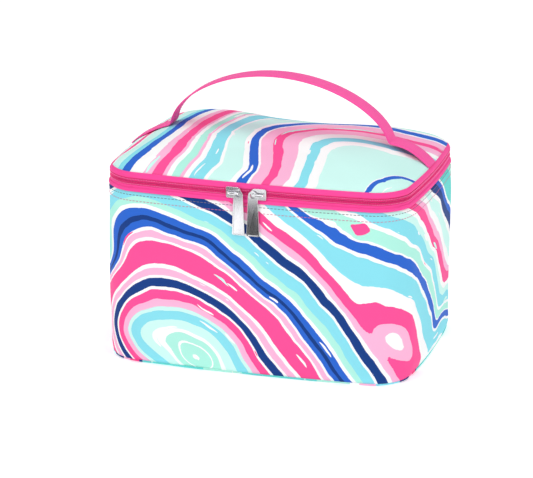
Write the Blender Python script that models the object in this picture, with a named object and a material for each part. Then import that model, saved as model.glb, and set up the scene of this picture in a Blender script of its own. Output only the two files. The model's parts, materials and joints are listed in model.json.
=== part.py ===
"""Soft makeup train case: padded box body, padded lid on a fabric hinge, two-way zip and webbing handle.

Metres, +Z up. The origin is the centre of the underside, the zip's two sliders are at the front (-Y),
and the lid hinges along the back (+Y). Every sub-part is its own closed solid. Moving sub-parts hang
from an empty that stands on their joint's axis.
"""

import math

import bmesh
import bpy
from mathutils import Matrix, Vector

# ---- driving dimensions, in metres -------------------------------------------------------------------
WIDTH = 0.267  # corner to corner, before the sides bow out
DEPTH = 0.190
CORNER_RADIUS = 0.027
FRONT_BOW = 0.006  # how far the padded front stands out at its middle
SIDE_BOW = 0.0055
BODY_TOP = 0.1563  # seam between the printed wall and the zip band
LID_SEAM = 0.1731  # seam between the zip band and the lid panel
BAND_LEAN = 0.0034  # how far the band's top edge sits inside its bottom edge
LID_CROWN = 0.0205  # height of the lid's middle above its edge

GAP = 0.0003  # clearance between neighbouring sub-parts
FABRIC = 0.0012  # printed outer cloth
FOAM = 0.0032
LINING = 0.0007
BOARD = 0.0024
TAPE = 0.0010  # zip tape

# Zip, size 5 coil
ZIP_LINE = 0.1650  # height at which the two coils meet
COIL_INSET = 0.0011  # the band's face at the coil, inside the wall's face
COIL_TALL = 0.0024
COIL_THICK = 0.0016
COIL_SLOT = 0.0016  # room between the coils for a slider's post
KNEE_LOW = ZIP_LINE - 0.0045  # the band's face is upright between the knees
KNEE_HIGH = ZIP_LINE + 0.0040

# Lid hinge: the line along which the back band folds
HINGE_Y = DEPTH / 2 + GAP
HINGE_Z = 0.1585

# Handle: one length of 22 mm webbing
STRAP_WIDTH = 0.0225
STRAP_THICK = 0.0015
STRAP_HALF_SPAN = 0.0985
STRAP_FOOT = 0.1945  # height at which the legs start to arch
STRAP_RISE = 0.0497
STRAP_LEAN = 0.005  # the soft arch leans this far to the left
STRAP_POWER = 1.25  # shape of the arch: 1 is an ellipse, more is more pointed
FOLD_Z = 0.2020
TAIL_OUTER = 0.1352  # where a tail leaves the lid's seam
TAIL_INNER = 0.1040
TAIL_LIFT = 0.0025  # the tail bows off the lid towards the crease

# Sliders and pulls
SLIDER_LENGTH = 0.0136
SLIDER_TALL = 0.0098
SLIDER_PLATE = 0.0011
SLIDER_CHANNEL = 0.0032
SLIDER_POST = 0.0010
SLIDER_LEFT_X = -0.0120
SLIDER_RIGHT_X = 0.0100
TRAVEL_TURN = math.atan(0.0335)  # each slider's straight path leans back to follow the bowed front
PLATE_FACE = -(SLIDER_CHANNEL / 2 + SLIDER_PLATE)  # front face of the front plate, from the coil's middle
CROWN_FOOT_OFFSET = 0.0046  # from the slider's middle to the middle of each foot
CROWN_BAR = 0.0012
CROWN_FOOT = 0.0015
CROWN_TALL = 0.0018
PULL_THICK = 0.0012
PULL_CLEAR = 0.0004
PULL_LENGTH = 0.0372  # from the pivot to the pull's lower end
PULL_TOP_WIDTH = 0.0084
PULL_END_WIDTH = 0.0114
PULL_HEAD_RADIUS = 0.0042
PULL_HOLE_RADIUS = 0.0024
PULL_HANG = 0.0010  # the hole's centre hangs this far below the foot it turns on

# The outline's legs, counter-clockwise from the middle of the back, and how finely each one is cut
LEG_STEPS = (2, 6, 4, 6, 8, 6, 4, 6, 2)
ZIP_START = 1.5  # half-way round the rear left corner
ZIP_END = 7.5  # half-way round the rear right corner
DOME_RINGS = 7


# ---- scene helpers -----------------------------------------------------------------------------------
def clear_scene():
    """Remove every object of the scene."""
    for obj in list(bpy.data.objects):
        bpy.data.objects.remove(obj, do_unlink=True)


def make_material(name, colour, roughness, metallic=0.0):
    """A Principled BSDF material with one colour."""
    material = bpy.data.materials.new(name)
    material.use_nodes = True
    shader = material.node_tree.nodes["Principled BSDF"]
    shader.inputs["Base Color"].default_value = (*colour, 1.0)
    shader.inputs["Roughness"].default_value = roughness
    shader.inputs["Metallic"].default_value = metallic
    material.diffuse_color = (*colour, 1.0)
    return material


def make_empty(name, location, parent=None, turn=0.0):
    """An empty that stands on a joint's axis, placed in its parent's frame and turned about Z."""
    empty = bpy.data.objects.new(name, None)
    bpy.context.scene.collection.objects.link(empty)
    empty.empty_display_size = 0.01
    empty.location = location
    empty.rotation_euler.z = turn
    empty.parent = parent
    bpy.context.view_layer.update()
    return empty


def make_part(name, bm, finish, parent=None, in_parent_frame=False, smooth_degrees=40):
    """Turn a bmesh into a named object, shaded smooth where its faces meet gently.

    The bmesh is in world coordinates, unless in_parent_frame says that it is in its parent's.
    """
    bmesh.ops.recalc_face_normals(bm, faces=bm.faces)
    mesh = bpy.data.meshes.new(name)
    if parent and not in_parent_frame:
        bmesh.ops.transform(bm, matrix=parent.matrix_world.inverted(), verts=bm.verts)
    bm.to_mesh(mesh)
    bm.free()
    mesh.shade_smooth()
    mesh.set_sharp_from_angle(angle=math.radians(smooth_degrees))
    part = bpy.data.objects.new(name, mesh)
    bpy.context.scene.collection.objects.link(part)
    part.data.materials.append(make_material(name, *finish))
    if parent:
        part.parent = parent
    return part


def add_bevel(part, width, segments=2):
    """Round an object's crisp edges."""
    bevel = part.modifiers.new("rounded_edges", "BEVEL")
    bevel.width = width
    bevel.segments = segments
    bevel.limit_method = "ANGLE"
    bevel.angle_limit = math.radians(50)


# ---- outline of the case, seen from above ------------------------------------------------------------
def outline_point(station, inset):
    """A point of the bowed, round-cornered outline, drawn in by inset.

    station runs counter-clockwise from the middle of the back: 0-1 back left half, 1-2 rear left corner,
    2-3 left side, 3-4 front left corner, 4-5 front, 5-6 front right corner, 6-7 right side,
    7-8 rear right corner, 8-9 back right half.
    """
    half_width = WIDTH / 2 - inset
    half_depth = DEPTH / 2 - inset
    radius = CORNER_RADIUS - inset
    run_x = half_width - radius
    run_y = half_depth - radius
    leg = min(int(station), 8)
    t = station - leg
    if leg in (1, 3, 5, 7):
        side_x = -1 if leg in (1, 3) else 1
        side_y = 1 if leg in (1, 7) else -1
        angle = math.pi / 2 * ({1: 1, 3: 2, 5: 3, 7: 0}[leg] + t)
        x = side_x * run_x + radius * math.cos(angle)
        y = side_y * run_y + radius * math.sin(angle)
    elif leg in (0, 8):
        x = -run_x * t if leg == 0 else run_x * (1 - t)
        y = half_depth
    elif leg in (2, 6):
        x = -half_width if leg == 2 else half_width
        y = run_y * (1 - 2 * t) if leg == 2 else run_y * (2 * t - 1)
    else:
        x = run_x * (2 * t - 1)
        y = -half_depth
    bowed_x = x + math.copysign(SIDE_BOW, x) * (1 - (y / half_depth) ** 2) * (x / half_width) ** 4
    bowed_y = y
    if y < 0:
        bowed_y -= FRONT_BOW * (1 - (x / half_width) ** 2) * (y / half_depth) ** 4
    return bowed_x, bowed_y


def stations_between(start, end):
    """Stations from start to end, which may run past 9 and on from 0, at every step of each leg."""
    stations = [start]
    for lap in (0, len(LEG_STEPS)):
        for leg, steps in enumerate(LEG_STEPS):
            for step in range(steps):
                station = lap + leg + step / steps
                if start + 1e-6 < station < end - 1e-6:
                    stations.append(station)
    stations.append(end)
    return [station % len(LEG_STEPS) for station in stations]


def full_loop():
    """Stations once round the case, the first not repeated."""
    return stations_between(0, len(LEG_STEPS))[:-1]


# ---- solids that follow the outline ------------------------------------------------------------------
def sweep(profile, stations, closed):
    """Carry a closed section of (inset, height) points along the outline."""
    bm = bmesh.new()
    rows = []
    for station in stations:
        row = []
        for inset, height in profile:
            x, y = outline_point(station, inset)
            row.append(bm.verts.new((x, y, height)))
        rows.append(row)
    pairs = list(zip(rows, rows[1:]))
    if closed:
        pairs.append((rows[-1], rows[0]))
    count = len(profile)
    for near, far in pairs:
        for i in range(count):
            j = (i + 1) % count
            bm.faces.new((near[i], near[j], far[j], far[i]))
    if not closed:
        bm.faces.new(rows[0])
        bm.faces.new(rows[-1])
    return bm


def wall_section(inset, thick, bottom, top):
    """Section of an upright layer."""
    return [(inset, bottom), (inset, top), (inset + thick, top), (inset + thick, bottom)]


def band_inset(height):
    """How far the zip band's face sits inside the wall's face: upright at the coil, leaning in above it."""
    if height <= KNEE_LOW:
        return COIL_INSET * (height - BODY_TOP) / (KNEE_LOW - BODY_TOP)
    if height <= KNEE_HIGH:
        return COIL_INSET
    return COIL_INSET + (BAND_LEAN - COIL_INSET) * (height - KNEE_HIGH) / (LID_SEAM - KNEE_HIGH)


def band_section(bottom, top, front, back):
    """Section of a strip of the zip band, between two depths behind the band's face."""
    knees = [h for h in (KNEE_LOW, KNEE_HIGH) if bottom < h < top]
    heights = [bottom, *knees, top]
    face = [(band_inset(h) + front, h) for h in heights]
    reverse = [(band_inset(h) + back, h) for h in reversed(heights)]
    return face + reverse


def round_section(inset, height, radius, sides=8):
    """Section of a round cord."""
    section = []
    for i in range(sides):
        angle = 2 * math.pi * (i + 0.5) / sides
        section.append((inset + radius * math.cos(angle), height + radius * math.sin(angle)))
    return section


def slab(inset, bottom, top):
    """A flat plate with the case's outline."""
    bm = bmesh.new()
    low = []
    high = []
    for station in full_loop():
        x, y = outline_point(station, inset)
        low.append(bm.verts.new((x, y, bottom)))
        high.append(bm.verts.new((x, y, top)))
    bm.faces.new(low)
    bm.faces.new(high)
    for i in range(len(low)):
        j = (i + 1) % len(low)
        bm.faces.new((low[i], low[j], high[j], high[i]))
    return bm


# ---- domed lid layers --------------------------------------------------------------------------------
def lid_height(station, share):
    """Height of the lid's outer face at a share (0 middle, 1 edge) of the way out to its edge.

    The lid is flatter across its width than from front to back.
    """
    x, y = outline_point(station, BAND_LEAN)
    along = (x / (WIDTH / 2)) ** 2
    across = (y / (DEPTH / 2)) ** 2
    power = 2.3 + 1.2 * along / (along + across)
    return LID_SEAM + FABRIC + LID_CROWN * (1 - share**power)


def dome_layer(inset, drop, thick):
    """One layer of the domed lid, its top face drop below the lid's outer face."""
    bm = bmesh.new()
    stations = full_loop()
    sheets = []
    for lower in (drop, drop + thick):
        rings = []
        for ring in range(DOME_RINGS):
            share = 1 - (ring / DOME_RINGS) ** 1.3
            row = []
            for station in stations:
                x, y = outline_point(station, inset)
                outer_x, outer_y = outline_point(station, BAND_LEAN)
                outer_share = share * math.hypot(x, y) / math.hypot(outer_x, outer_y)
                height = lid_height(station, outer_share) - lower
                row.append(bm.verts.new((x * share, y * share, height)))
            rings.append(row)
        middle = bm.verts.new((0, 0, LID_SEAM + FABRIC + LID_CROWN - lower))
        sheets.append((rings, middle))
    count = len(stations)
    for rings, middle in sheets:
        for outer, inner in zip(rings, rings[1:]):
            for i in range(count):
                j = (i + 1) % count
                bm.faces.new((outer[i], outer[j], inner[j], inner[i]))
        for i in range(count):
            bm.faces.new((rings[-1][i], rings[-1][(i + 1) % count], middle))
    top_edge = sheets[0][0][0]
    low_edge = sheets[1][0][0]
    for i in range(count):
        j = (i + 1) % count
        bm.faces.new((top_edge[i], top_edge[j], low_edge[j], low_edge[i]))
    return bm


# ---- webbing -----------------------------------------------------------------------------------------
def ribbon(path):
    """A flat strap along a path of (x, z, half_width) points in the XZ plane."""
    bm = bmesh.new()
    rows = []
    for i, (x, z, half_width) in enumerate(path):
        before = path[max(i - 1, 0)]
        after = path[min(i + 1, len(path) - 1)]
        tangent = Vector((after[0] - before[0], 0, after[1] - before[1])).normalized()
        normal = Vector((-tangent.z, 0, tangent.x))
        row = []
        for side, face in ((-1, -1), (1, -1), (1, 1), (-1, 1)):
            offset = normal * (face * STRAP_THICK / 2)
            row.append(bm.verts.new((x + offset.x, side * half_width, z + offset.z)))
        rows.append(row)
    for near, far in zip(rows, rows[1:]):
        for i in range(4):
            j = (i + 1) % 4
            bm.faces.new((near[i], near[j], far[j], far[i]))
    bm.faces.new(rows[0])
    bm.faces.new(rows[-1])
    return bm


def handle_path():
    """The arch, with rounded leg ends centred on the fold axis so that they turn in their own space."""
    half = STRAP_WIDTH / 2
    below = []
    for degrees in (78, 60, 45, 30, 15):
        angle = math.radians(degrees)
        below.append((FOLD_Z - half * math.sin(angle), half * math.cos(angle)))
    left = []
    for height, half_width in below:
        if height < STRAP_FOOT:
            left.append((-STRAP_HALF_SPAN, height, half_width))
    arch = []
    steps = 28
    for step in range(steps + 1):
        angle = math.pi * (step / steps - 0.5)
        x = STRAP_HALF_SPAN * math.sin(angle) - STRAP_LEAN * math.cos(angle)
        z = STRAP_FOOT + STRAP_RISE * math.cos(angle) ** STRAP_POWER
        drop = max(FOLD_Z - z, 0)
        arch.append((x, z, math.sqrt(half**2 - drop**2)))
    right = [(-x, z, w) for x, z, w in reversed(left)]
    return left + arch + right


def tail_path(side):
    """A tail, from the lid's seam up along the lid to just short of the crease."""
    path = []
    steps = 6
    edge = outline_point(6.5, BAND_LEAN)[0]
    for step in range(steps + 1):
        t = step / steps
        x = TAIL_OUTER + (TAIL_INNER - TAIL_OUTER) * t
        z = lid_height(6.5, x / edge) + STRAP_THICK / 2 + 2 * GAP + TAIL_LIFT * t**2
        path.append((side * x, z, STRAP_WIDTH / 2))
    return path


# ---- zip sliders and pulls ---------------------------------------------------------------------------
def coil_middle_y(x):
    """Middle of the coil's thickness on the bowed front."""
    inset = COIL_INSET + COIL_THICK / 2 - 0.0003
    half_width = WIDTH / 2 - inset
    return -(DEPTH / 2 - inset) - FRONT_BOW * (1 - (x / half_width) ** 2)


def extrude_outline(points, thickness):
    """Extrude a closed outline of 3-D points by a vector."""
    bm = bmesh.new()
    verts = [bm.verts.new(p) for p in points]
    face = bm.faces.new(verts)
    moved = bmesh.ops.extrude_face_region(bm, geom=[face])
    new_verts = [item for item in moved["geom"] if isinstance(item, bmesh.types.BMVert)]
    bmesh.ops.translate(bm, verts=new_verts, vec=thickness)
    return bm


def slider_body():
    """Two plates joined by the post that runs between the coils: an H section drawn along the zip.

    Sliders, crowns and pulls are modelled in their slider's frame: X along the zip, -Y to the front.
    """
    channel = SLIDER_CHANNEL / 2
    outer = channel + SLIDER_PLATE
    tall = SLIDER_TALL / 2
    post = SLIDER_POST / 2
    section = [
        (-outer, -tall),
        (-channel, -tall),
        (-channel, -post),
        (channel, -post),
        (channel, -tall),
        (outer, -tall),
        (outer, tall),
        (channel, tall),
        (channel, post),
        (-channel, post),
        (-channel, tall),
        (-outer, tall),
    ]
    points = [(-SLIDER_LENGTH / 2, y, z) for y, z in section]
    return extrude_outline(points, Vector((SLIDER_LENGTH, 0, 0)))


def slider_crown():
    """The crown: a bar on two feet, which traps the pull."""
    y_foot = PLATE_FACE - GAP
    y_under = PLATE_FACE - PULL_THICK - 2 * PULL_CLEAR
    y_top = y_under - CROWN_BAR
    inner = CROWN_FOOT_OFFSET - CROWN_FOOT / 2
    outer = CROWN_FOOT_OFFSET + CROWN_FOOT / 2
    section = [
        (-outer, y_foot),
        (-outer, y_top),
        (outer, y_top),
        (outer, y_foot),
        (inner, y_foot),
        (inner, y_under),
        (-inner, y_under),
        (-inner, y_foot),
    ]
    points = [(x, y, -CROWN_TALL / 2) for x, y in section]
    return extrude_outline(points, Vector((0, 0, CROWN_TALL)))


def pull_outline():
    """The pull's outline in (x, z) about its pivot: a round head that runs into a widening blade."""
    head_z = -PULL_HANG
    neck = math.asin(PULL_TOP_WIDTH / 2 / PULL_HEAD_RADIUS)
    points = []
    steps = 14
    for step in range(steps + 1):
        angle = math.pi - neck - 2 * (math.pi - neck) * step / steps
        points.append((PULL_HEAD_RADIUS * math.sin(angle), head_z + PULL_HEAD_RADIUS * math.cos(angle)))
    corner = 0.0012
    for side in (-1, 1):
        for step in range(4):
            angle = math.pi / 2 * step / 3
            if side < 0:
                x = -PULL_END_WIDTH / 2 + corner - corner * math.cos(angle)
                z = -PULL_LENGTH + corner - corner * math.sin(angle)
            else:
                x = PULL_END_WIDTH / 2 - corner + corner * math.sin(angle)
                z = -PULL_LENGTH + corner - corner * math.cos(angle)
            points.append((x, z))
    return points


def make_pull(name, finish, pivot):
    """A flat metal pull with a round hole, hanging in its pivot's XZ plane."""
    points = [(x, PULL_THICK / 2, z) for x, z in pull_outline()]
    bm = extrude_outline(points, Vector((0, -PULL_THICK, 0)))
    pull = make_part(name, bm, finish, pivot, in_parent_frame=True)
    cutter_mesh = bmesh.new()
    bmesh.ops.create_cone(
        cutter_mesh,
        cap_ends=True,
        segments=20,
        radius1=PULL_HOLE_RADIUS,
        radius2=PULL_HOLE_RADIUS,
        depth=PULL_THICK * 4,
        matrix=Matrix.Translation((0, 0, -PULL_HANG)) @ Matrix.Rotation(math.pi / 2, 4, "X"),
    )
    cutter = make_part(name + "_hole_cutter", cutter_mesh, finish, pivot, in_parent_frame=True)
    cutter.hide_render = True
    cutter.display_type = "WIRE"
    cut = pull.modifiers.new("hole", "BOOLEAN")
    cut.operation = "DIFFERENCE"
    cut.solver = "EXACT"
    cut.object = cutter
    add_bevel(pull, 0.0002, 1)
    return pull


# ---- finishes: colour, roughness, metallic -----------------------------------------------------------
PRINT_MINT = ((0.42, 0.86, 0.75), 0.8)
PRINT_BLUE = ((0.05, 0.17, 0.55), 0.8)
HOT_PINK = ((0.90, 0.05, 0.28), 0.7)
DEEP_PINK = ((0.80, 0.02, 0.22), 0.6)
MINT_CORD = ((0.25, 0.72, 0.62), 0.7)
GREY_FOAM = ((0.55, 0.55, 0.57), 0.95)
PALE_LINING = ((0.86, 0.90, 0.90), 0.75)
PLASTIC_BOARD = ((0.12, 0.12, 0.13), 0.5)
CHROME = ((0.80, 0.80, 0.82), 0.12, 1.0)


# ---- assembly ----------------------------------------------------------------------------------------
def build_case():
    """The fixed body: wall, base, lower half of the zip."""
    layer_foam = FABRIC + GAP
    layer_lining = layer_foam + FOAM + GAP
    layer_binding = layer_lining + LINING + GAP
    cord = 0.0012
    loop = full_loop()
    board_bottom = FABRIC + GAP
    board_top = board_bottom + BOARD
    foam_top = BODY_TOP - 0.0012
    wall_bottom = 2 * cord + 2 * GAP

    make_part("base_panel", slab(2.2 * cord, 0, FABRIC), PRINT_MINT)
    make_part("base_piping", sweep(round_section(cord * 0.7, cord + 0.0001, cord), loop, True), MINT_CORD)
    make_part("base_board", slab(2.2 * cord, board_bottom, board_top), PLASTIC_BOARD)
    make_part("base_lining", slab(layer_lining, board_top + GAP, board_top + GAP + LINING), PALE_LINING)

    panel = wall_section(0, FABRIC, wall_bottom, BODY_TOP - GAP)
    make_part("wall_panel", sweep(panel, loop, True), PRINT_MINT)
    foam = wall_section(layer_foam, FOAM, board_top + GAP, foam_top)
    make_part("wall_foam", sweep(foam, loop, True), GREY_FOAM)
    lining = wall_section(layer_lining, LINING, board_top + 2 * GAP + LINING, foam_top)
    make_part("wall_lining", sweep(lining, loop, True), PALE_LINING)
    binding = wall_section(layer_binding, 0.0012, foam_top - 0.0040, foam_top)
    make_part("case_seam_binding", sweep(binding, loop, True), DEEP_PINK)

    zip_run = stations_between(ZIP_START, ZIP_END)
    coil_bottom = ZIP_LINE - COIL_SLOT / 2 - COIL_TALL
    tape = band_section(BODY_TOP + GAP, coil_bottom - GAP, 0, TAPE)
    make_part("lower_zip_tape", sweep(tape, zip_run, False), HOT_PINK)
    coil = band_section(coil_bottom, coil_bottom + COIL_TALL, -0.0003, COIL_THICK - 0.0003)
    make_part("lower_zip_coil", sweep(coil, zip_run, False), DEEP_PINK)


def build_lid(axis):
    """The lid: dome layers, upper half of the zip, hinge band and the handle's sewn tails."""
    loop = full_loop()
    layer_foam = FABRIC + GAP
    layer_lining = layer_foam + FOAM + GAP
    foam_inset = BAND_LEAN + FABRIC + 2 * GAP
    binding_top = LID_SEAM + FABRIC - layer_lining - LINING - GAP

    make_part("lid_panel", dome_layer(BAND_LEAN, 0, FABRIC), PRINT_BLUE, axis)
    make_part("lid_foam", dome_layer(foam_inset, layer_foam, FOAM), GREY_FOAM, axis)
    make_part("lid_lining", dome_layer(foam_inset, layer_lining, LINING), PALE_LINING, axis)
    binding = wall_section(foam_inset, 0.0014, binding_top - 0.0028, binding_top)
    make_part("lid_seam_binding", sweep(binding, loop, True), DEEP_PINK, axis)

    zip_run = stations_between(ZIP_START, ZIP_END)
    coil_bottom = ZIP_LINE + COIL_SLOT / 2
    coil_top = coil_bottom + COIL_TALL
    coil = band_section(coil_bottom, coil_top, -0.0003, COIL_THICK - 0.0003)
    make_part("upper_zip_coil", sweep(coil, zip_run, False), DEEP_PINK, axis)
    tape = band_section(coil_top + GAP, LID_SEAM - GAP, 0, TAPE)
    make_part("upper_zip_tape", sweep(tape, zip_run, False), HOT_PINK, axis)

    hinge_run = stations_between(ZIP_END + 0.03, len(LEG_STEPS) + ZIP_START - 0.03)
    hinge = band_section(HINGE_Z + 2 * GAP, LID_SEAM - GAP, 0, TAPE)
    make_part("hinge_band", sweep(hinge, hinge_run, False), HOT_PINK, axis)

    make_part("handle_tail_left", ribbon(tail_path(-1)), HOT_PINK, axis)
    make_part("handle_tail_right", ribbon(tail_path(1)), HOT_PINK, axis)


def build_slider(side, x_middle):
    """One slider with its crown and pull. The pull turns on the crown's foot nearest the case's middle."""
    inward = 1 if side == "left" else -1
    place = (x_middle, coil_middle_y(x_middle), ZIP_LINE)
    travel = make_empty(f"slider_{side}_travel", place, turn=-inward * TRAVEL_TURN)
    body = make_part(f"slider_{side}_body", slider_body(), CHROME, travel, in_parent_frame=True)
    add_bevel(body, 0.0003)
    crown = make_part(f"slider_{side}_crown", slider_crown(), CHROME, travel, in_parent_frame=True)
    add_bevel(crown, 0.00025)
    hook = (inward * CROWN_FOOT_OFFSET, PLATE_FACE - PULL_CLEAR - PULL_THICK / 2, 0)
    make_pull(f"pull_{side}", CHROME, make_empty(f"pull_{side}_swing", hook, travel))


def main():
    clear_scene()
    build_case()
    lid_axis = make_empty("lid_hinge", (0, HINGE_Y, HINGE_Z))
    build_lid(lid_axis)
    fold_axis = make_empty("handle_fold", (0, -HINGE_Y, FOLD_Z - HINGE_Z), lid_axis)
    make_part("handle_strap", ribbon(handle_path()), HOT_PINK, fold_axis)
    build_slider("left", SLIDER_LEFT_X)
    build_slider("right", SLIDER_RIGHT_X)


main()
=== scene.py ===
"""Looks of the makeup train case: padded printed cloth, zip band, webbing handle and chromed zip pulls.

Metres, +Z up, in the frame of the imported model. The front with the zip's sliders faces -Y.
"""

import json
import math

import bmesh
import bpy
import numpy as np
from mathutils import Matrix, Vector, noise
from mathutils.bvhtree import BVHTree


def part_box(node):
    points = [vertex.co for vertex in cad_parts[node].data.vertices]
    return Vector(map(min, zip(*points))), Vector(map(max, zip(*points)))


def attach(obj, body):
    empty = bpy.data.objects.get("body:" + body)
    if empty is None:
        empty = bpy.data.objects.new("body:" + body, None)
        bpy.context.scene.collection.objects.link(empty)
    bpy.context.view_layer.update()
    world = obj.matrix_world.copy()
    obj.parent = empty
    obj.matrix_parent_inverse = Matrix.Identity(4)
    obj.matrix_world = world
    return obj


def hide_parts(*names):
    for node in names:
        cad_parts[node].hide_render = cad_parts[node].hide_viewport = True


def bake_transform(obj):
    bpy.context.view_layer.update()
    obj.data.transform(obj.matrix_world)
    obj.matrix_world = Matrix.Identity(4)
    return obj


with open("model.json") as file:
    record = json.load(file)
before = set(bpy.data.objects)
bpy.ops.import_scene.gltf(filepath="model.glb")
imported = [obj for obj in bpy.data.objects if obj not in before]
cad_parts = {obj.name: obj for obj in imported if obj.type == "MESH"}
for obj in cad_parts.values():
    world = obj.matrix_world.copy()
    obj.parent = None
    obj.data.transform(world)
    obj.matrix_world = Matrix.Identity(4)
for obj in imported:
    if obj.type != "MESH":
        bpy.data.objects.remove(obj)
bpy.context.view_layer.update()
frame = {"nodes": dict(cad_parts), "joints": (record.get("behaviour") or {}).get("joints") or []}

# ---- sizes, from the frame ----
WALL_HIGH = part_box("wall_panel")[1]
LID_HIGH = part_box("lid_panel")[1]
UPPER_TAPE_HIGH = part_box("upper_zip_tape")[1]
LOWER_COIL_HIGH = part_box("lower_zip_coil")[1]
UPPER_COIL_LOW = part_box("upper_zip_coil")[0]
STRAP_LOW, STRAP_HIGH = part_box("handle_strap")
PIPING_LOW, PIPING_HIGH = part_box("base_piping")
FOAM_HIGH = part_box("wall_foam")[1]
JOINTS = {joint["name"]: joint for joint in frame["joints"]}

SIDE_BOW = 0.0055
FRONT_BOW = 0.006
CORNER_RADIUS = 0.027
HALF_WIDTH = WALL_HIGH.x - SIDE_BOW
HALF_DEPTH = WALL_HIGH.y
SEAM = 0.0003  # clearance that the frame keeps between neighbours
BODY_TOP = WALL_HIGH.z + SEAM
LID_SEAM = UPPER_TAPE_HIGH.z + SEAM
LID_TOP = LID_HIGH.z
ZIP_LINE = (LOWER_COIL_HIGH.z + UPPER_COIL_LOW.z) / 2
CLOTH = 0.0012
CLOTH_DRAWN = CLOTH - 0.0002  # thickness of the cloth's mesh
FOAM_THICK = 0.0032
LAYERS = CLOTH + FOAM_THICK + 2 * SEAM  # cloth and foam, down to the lining
BAND_LEAN = 0.0034  # how far the band's top edge sits inside the wall's face
COIL_INSET = 0.0011
COIL_PITCH = 0.0015
COIL_MIDDLE = COIL_INSET + 0.0005  # middle of the coil's thickness, inside the wall's face
ZIP_START = 1.5  # stations of the zip's two ends, half-way round the rear corners
ZIP_END = 7.5
STATIONS = 9  # once round the outline


# ---- colours ----
def rgb(red, green, blue):
    """A colour given in display values 0-255, as a linear RGBA."""
    linear = []
    for value in (red, green, blue):
        share = value / 255
        linear.append(share / 12.92 if share <= 0.04045 else ((share + 0.055) / 1.055) ** 2.4)
    return (*linear, 1.0)


INK = {
    "white": rgb(250, 250, 250),
    "mint": rgb(176, 240, 224),
    "pale_mint": rgb(205, 247, 240),
    "aqua": rgb(137, 223, 237),
    "turquoise": rgb(104, 218, 212),
    "royal": rgb(42, 102, 206),
    "navy": rgb(18, 60, 132),
    "hot_pink": rgb(252, 80, 152),
    "pink": rgb(250, 182, 216),
}
BAND_PINK = rgb(252, 68, 154)
COIL_PINK = rgb(240, 44, 130)
WEBBING_PINK = rgb(254, 82, 164)
LINING_GREY = rgb(222, 230, 232)
THREAD_GREY = rgb(112, 104, 122)
THREAD_PINK = rgb(206, 104, 142)
COIL_THREAD = rgb(255, 136, 196)
CHROME = rgb(232, 232, 236)

# The print's colours in order from the middle of an agate eye outwards, each with its width in millimetres
WALL_PRINT = [
    ("mint", 7), ("white", 1), ("mint", 5), ("white", 3), ("pale_mint", 8), ("aqua", 8), ("pale_mint", 4),
    ("pink", 5), ("hot_pink", 6), ("white", 2), ("navy", 6), ("white", 2), ("pink", 5), ("white", 3),
    ("hot_pink", 16), ("white", 2), ("pink", 4), ("white", 2), ("royal", 4), ("navy", 3), ("royal", 6),
    ("white", 3), ("mint", 5), ("aqua", 8), ("white", 2), ("navy", 7), ("white", 3), ("pink", 6),
    ("hot_pink", 8), ("white", 7), ("aqua", 11), ("white", 2), ("royal", 6), ("white", 1), ("mint", 5),
    ("white", 2), ("aqua", 7), ("pale_mint", 4), ("white", 3), ("hot_pink", 7), ("pink", 4), ("white", 5),
    ("pale_mint", 8), ("white", 3), ("navy", 6), ("royal", 4), ("white", 3), ("turquoise", 13), ("mint", 9),
    ("pale_mint", 6), ("white", 4),
]
LID_PRINT = [
    ("pale_mint", 36), ("white", 8), ("aqua", 8), ("white", 9), ("pink", 10), ("hot_pink", 7), ("pink", 10),
    ("white", 2), ("royal", 8), ("white", 5), ("pale_mint", 18), ("white", 3), ("aqua", 13), ("white", 5),
    ("pink", 3), ("mint", 7), ("white", 5), ("pink", 3), ("hot_pink", 9), ("pink", 6), ("white", 8),
    ("royal", 7), ("aqua", 6), ("pale_mint", 12), ("white", 4), ("hot_pink", 6), ("white", 4),
    ("pale_mint", 34), ("royal", 3), ("white", 2),
]
# The cord round the bottom is covered with the same cloth: its inks in order along the cord
CORD_PRINT = [
    ("navy", 14), ("pink", 8), ("hot_pink", 8), ("navy", 3), ("turquoise", 58), ("mint", 36),
    ("turquoise", 66), ("mint", 30), ("white", 8), ("pink", 16), ("aqua", 24),
]


# ---- outline of the case, seen from above ----
def outline(station, inset):
    """A point of the bowed, round-cornered outline.

    Stations 0 to 9 run counter-clockwise from the back's middle: straight legs and corners in turn.
    """
    half_width, half_depth, radius = HALF_WIDTH - inset, HALF_DEPTH - inset, CORNER_RADIUS - inset
    run_x, run_y = half_width - radius, half_depth - radius
    station = station % STATIONS
    leg = min(int(station), STATIONS - 1)
    t = station - leg
    if leg in (1, 3, 5, 7):
        side_x = -1 if leg in (1, 3) else 1
        side_y = 1 if leg in (1, 7) else -1
        angle = math.pi / 2 * ({1: 1, 3: 2, 5: 3, 7: 0}[leg] + t)
        x = side_x * run_x + radius * math.cos(angle)
        y = side_y * run_y + radius * math.sin(angle)
    elif leg in (0, 8):
        x = -run_x * t if leg == 0 else run_x * (1 - t)
        y = half_depth
    elif leg in (2, 6):
        x = -half_width if leg == 2 else half_width
        y = run_y * (1 - 2 * t) if leg == 2 else run_y * (2 * t - 1)
    else:
        x = run_x * (2 * t - 1)
        y = -half_depth
    bowed_x = x + math.copysign(SIDE_BOW, x) * (1 - (y / half_depth) ** 2) * (x / half_width) ** 4
    bowed_y = y
    if y < 0:
        bowed_y -= FRONT_BOW * (1 - (x / half_width) ** 2) * (y / half_depth) ** 4
    return bowed_x, bowed_y


def lengths_along(points):
    """Distance of each point from the first, along a line of points."""
    return np.concatenate([[0], np.cumsum(np.hypot(*np.diff(points, axis=0).T))])


def even_stations(start, end, spacing, inset=0.0):
    """Evenly spaced stations along the outline, and the distance of each from the start."""
    fine = np.linspace(start, end, 4000)
    length = lengths_along([outline(s, inset) for s in fine])
    count = max(2, round(length[-1] / spacing))
    distance = np.linspace(0, length[-1], count + 1)
    return np.interp(distance, length, fine), distance


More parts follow.
